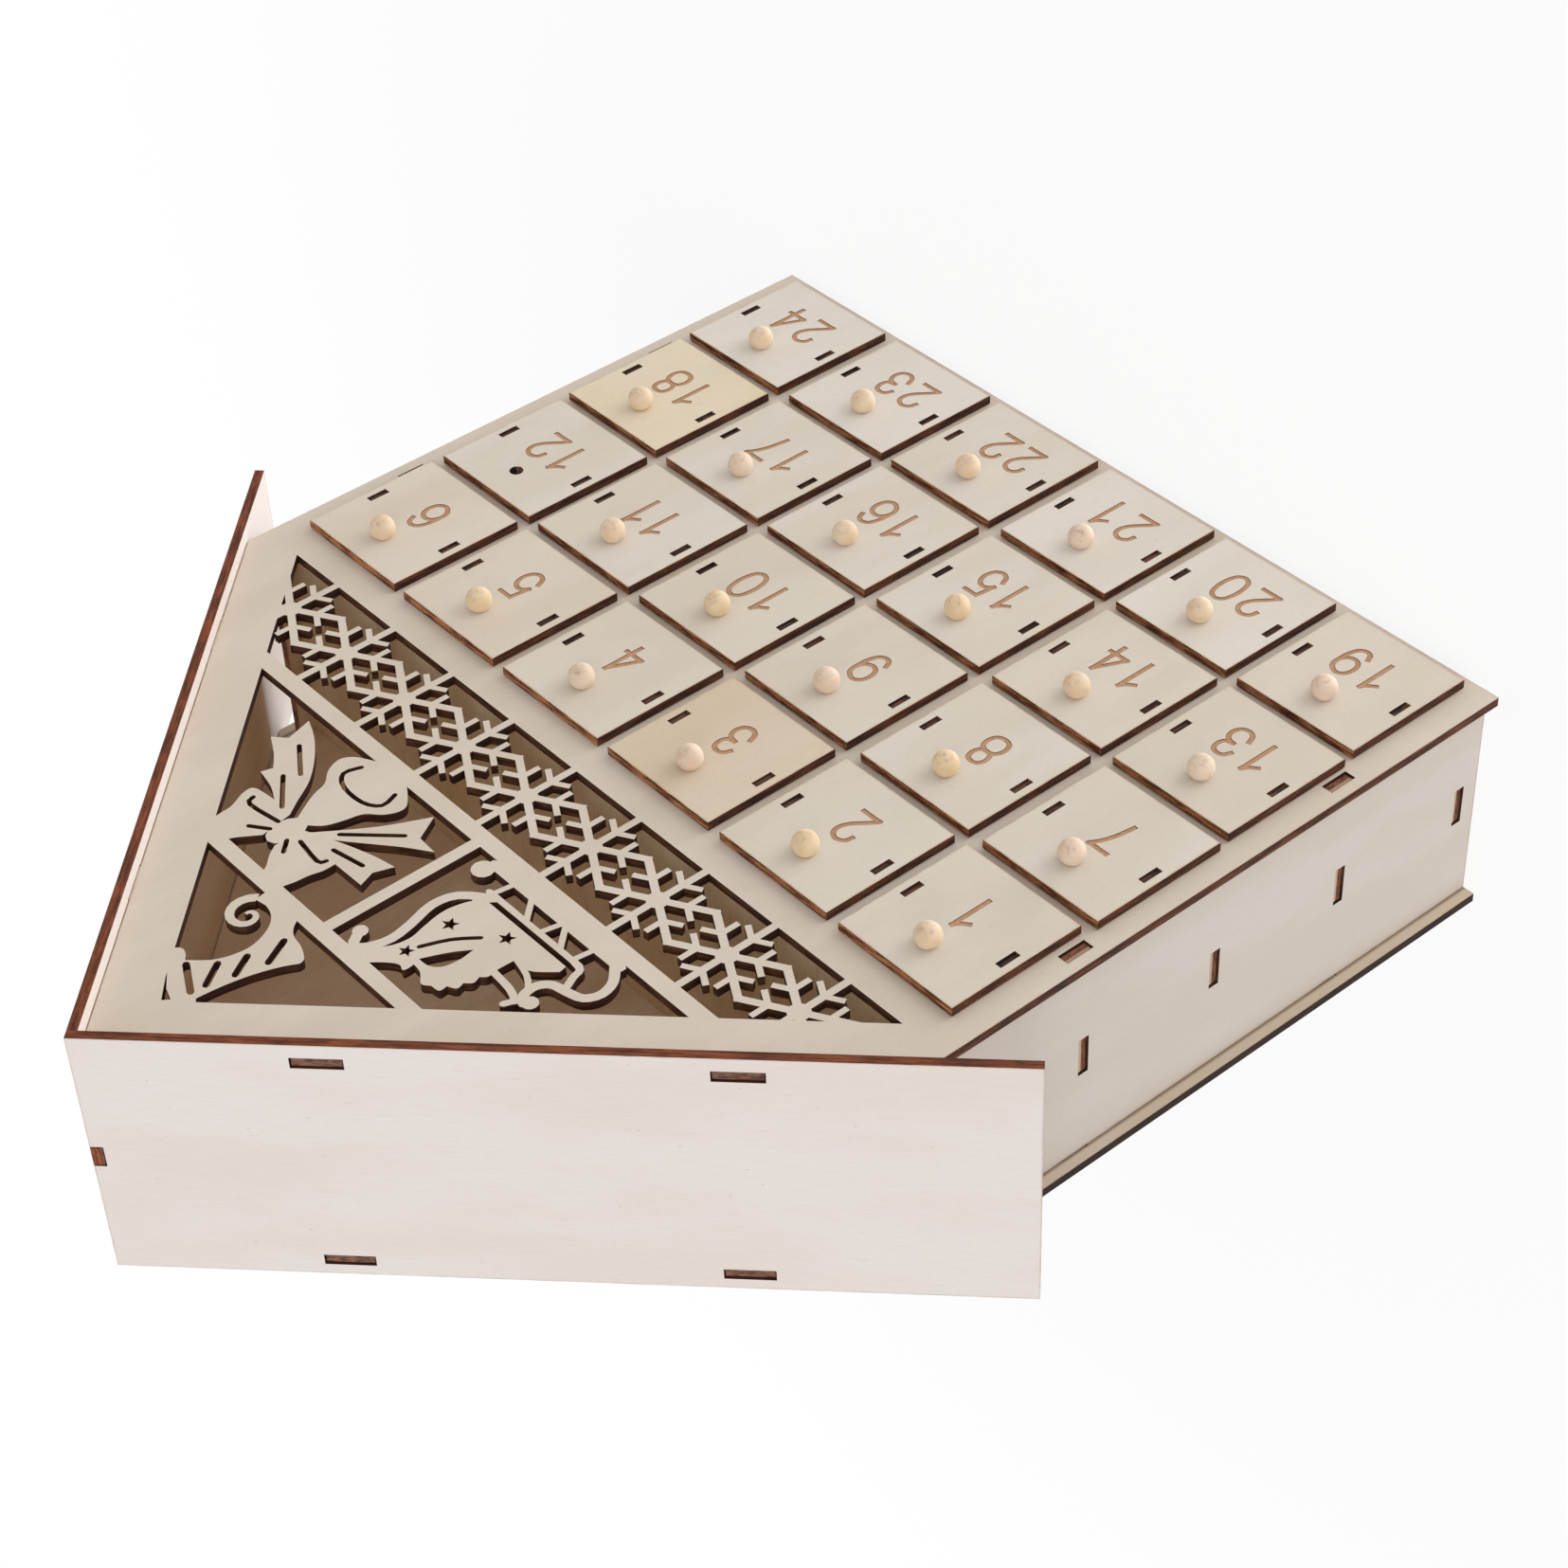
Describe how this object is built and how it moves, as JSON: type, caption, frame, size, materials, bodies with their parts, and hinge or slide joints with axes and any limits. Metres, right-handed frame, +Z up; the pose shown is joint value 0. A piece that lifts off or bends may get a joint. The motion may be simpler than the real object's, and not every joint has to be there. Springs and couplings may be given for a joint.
{
  "type": "wooden house advent calendar",
  "caption": "Standing plywood house with a pierced gable, an overhanging pitched roof and numbered drawers with ball knobs that slide out to hold small gifts.",
  "frame": {"origin": "on the ground, under the middle of the whole object's bounding box", "axes": "+Z up along the height, front with the drawers facing -Y, +X to the right seen from the front"},
  "size_m": [0.3598, 0.0932, 0.3827],
  "materials": {
    "panel": "pale bare birch plywood",
    "roof": "whitish bare plywood",
    "wall": "pale bare plywood",
    "shelf": "bare plywood in shade",
    "drawer": "pale bare plywood",
    "knob": "turned beech, sanded"
  },
  "bodies": {
    "house": {"front_panel": "panel", "back_panel": "panel", "left_wall": "wall", "right_wall": "wall", "left_roof": "roof", "right_roof": "roof", "floor_board": "shelf", "shelf_1": "shelf", "shelf_2": "shelf", "shelf_3": "shelf", "attic_floor": "shelf"},
    "drawer_01": {"drawer_01": "drawer", "knob_01": "knob"},
    "drawer_02": {"drawer_02": "drawer", "knob_02": "knob"},
    "drawer_03": {"drawer_03": "drawer", "knob_03": "knob"},
    "drawer_04": {"drawer_04": "drawer", "knob_04": "knob"},
    "drawer_05": {"drawer_05": "drawer", "knob_05": "knob"},
    "drawer_06": {"drawer_06": "drawer", "knob_06": "knob"},
    "drawer_07": {"drawer_07": "drawer", "knob_07": "knob"},
    "drawer_08": {"drawer_08": "drawer", "knob_08": "knob"},
    "drawer_09": {"drawer_09": "drawer", "knob_09": "knob"},
    "drawer_10": {"drawer_10": "drawer", "knob_10": "knob"},
    "drawer_11": {"drawer_11": "drawer", "knob_11": "knob"},
    "drawer_12": {"drawer_12": "drawer"},
    "drawer_13": {"drawer_13": "drawer", "knob_13": "knob"},
    "drawer_14": {"drawer_14": "drawer", "knob_14": "knob"},
    "drawer_15": {"drawer_15": "drawer", "knob_15": "knob"},
    "drawer_16": {"drawer_16": "drawer", "knob_16": "knob"},
    "drawer_17": {"drawer_17": "drawer", "knob_17": "knob"},
    "drawer_18": {"drawer_18": "drawer", "knob_18": "knob"},
    "drawer_19": {"drawer_19": "drawer", "knob_19": "knob"},
    "drawer_20": {"drawer_20": "drawer", "knob_20": "knob"},
    "drawer_21": {"drawer_21": "drawer", "knob_21": "knob"},
    "drawer_22": {"drawer_22": "drawer", "knob_22": "knob"},
    "drawer_23": {"drawer_23": "drawer", "knob_23": "knob"},
    "drawer_24": {"drawer_24": "drawer", "knob_24": "knob"}
  },
  "joints": [
    {"name": "drawer_01_slide", "type": "slide", "parent": "house", "child": "drawer_01", "axis": [0, -1, 0], "range_m": [0, 0.06]},
    {"name": "drawer_02_slide", "type": "slide", "parent": "house", "child": "drawer_02", "axis": [0, -1, 0], "range_m": [0, 0.06]},
    {"name": "drawer_03_slide", "type": "slide", "parent": "house", "child": "drawer_03", "axis": [0, -1, 0], "range_m": [0, 0.06]},
    {"name": "drawer_04_slide", "type": "slide", "parent": "house", "child": "drawer_04", "axis": [0, -1, 0], "range_m": [0, 0.06]},
    {"name": "drawer_05_slide", "type": "slide", "parent": "house", "child": "drawer_05", "axis": [0, -1, 0], "range_m": [0, 0.06]},
    {"name": "drawer_06_slide", "type": "slide", "parent": "house", "child": "drawer_06", "axis": [0, -1, 0], "range_m": [0, 0.06]},
    {"name": "drawer_07_slide", "type": "slide", "parent": "house", "child": "drawer_07", "axis": [0, -1, 0], "range_m": [0, 0.06]},
    {"name": "drawer_08_slide", "type": "slide", "parent": "house", "child": "drawer_08", "axis": [0, -1, 0], "range_m": [0, 0.06]},
    {"name": "drawer_09_slide", "type": "slide", "parent": "house", "child": "drawer_09", "axis": [0, -1, 0], "range_m": [0, 0.06]},
    {"name": "drawer_10_slide", "type": "slide", "parent": "house", "child": "drawer_10", "axis": [0, -1, 0], "range_m": [0, 0.06]},
    {"name": "drawer_11_slide", "type": "slide", "parent": "house", "child": "drawer_11", "axis": [0, -1, 0], "range_m": [0, 0.06]},
    {"name": "drawer_12_slide", "type": "slide", "parent": "house", "child": "drawer_12", "axis": [0, -1, 0], "range_m": [0, 0.06]},
    {"name": "drawer_13_slide", "type": "slide", "parent": "house", "child": "drawer_13", "axis": [0, -1, 0], "range_m": [0, 0.06]},
    {"name": "drawer_14_slide", "type": "slide", "parent": "house", "child": "drawer_14", "axis": [0, -1, 0], "range_m": [0, 0.06]},
    {"name": "drawer_15_slide", "type": "slide", "parent": "house", "child": "drawer_15", "axis": [0, -1, 0], "range_m": [0, 0.06]},
    {"name": "drawer_16_slide", "type": "slide", "parent": "house", "child": "drawer_16", "axis": [0, -1, 0], "range_m": [0, 0.06]},
    {"name": "drawer_17_slide", "type": "slide", "parent": "house", "child": "drawer_17", "axis": [0, -1, 0], "range_m": [0, 0.06]},
    {"name": "drawer_18_slide", "type": "slide", "parent": "house", "child": "drawer_18", "axis": [0, -1, 0], "range_m": [0, 0.06]},
    {"name": "drawer_19_slide", "type": "slide", "parent": "house", "child": "drawer_19", "axis": [0, -1, 0], "range_m": [0, 0.06]},
    {"name": "drawer_20_slide", "type": "slide", "parent": "house", "child": "drawer_20", "axis": [0, -1, 0], "range_m": [0, 0.06]},
    {"name": "drawer_21_slide", "type": "slide", "parent": "house", "child": "drawer_21", "axis": [0, -1, 0], "range_m": [0, 0.06]},
    {"name": "drawer_22_slide", "type": "slide", "parent": "house", "child": "drawer_22", "axis": [0, -1, 0], "range_m": [0, 0.06]},
    {"name": "drawer_23_slide", "type": "slide", "parent": "house", "child": "drawer_23", "axis": [0, -1, 0], "range_m": [0, 0.06]},
    {"name": "drawer_24_slide", "type": "slide", "parent": "house", "child": "drawer_24", "axis": [0, -1, 0], "range_m": [0, 0.06]}
  ]
}
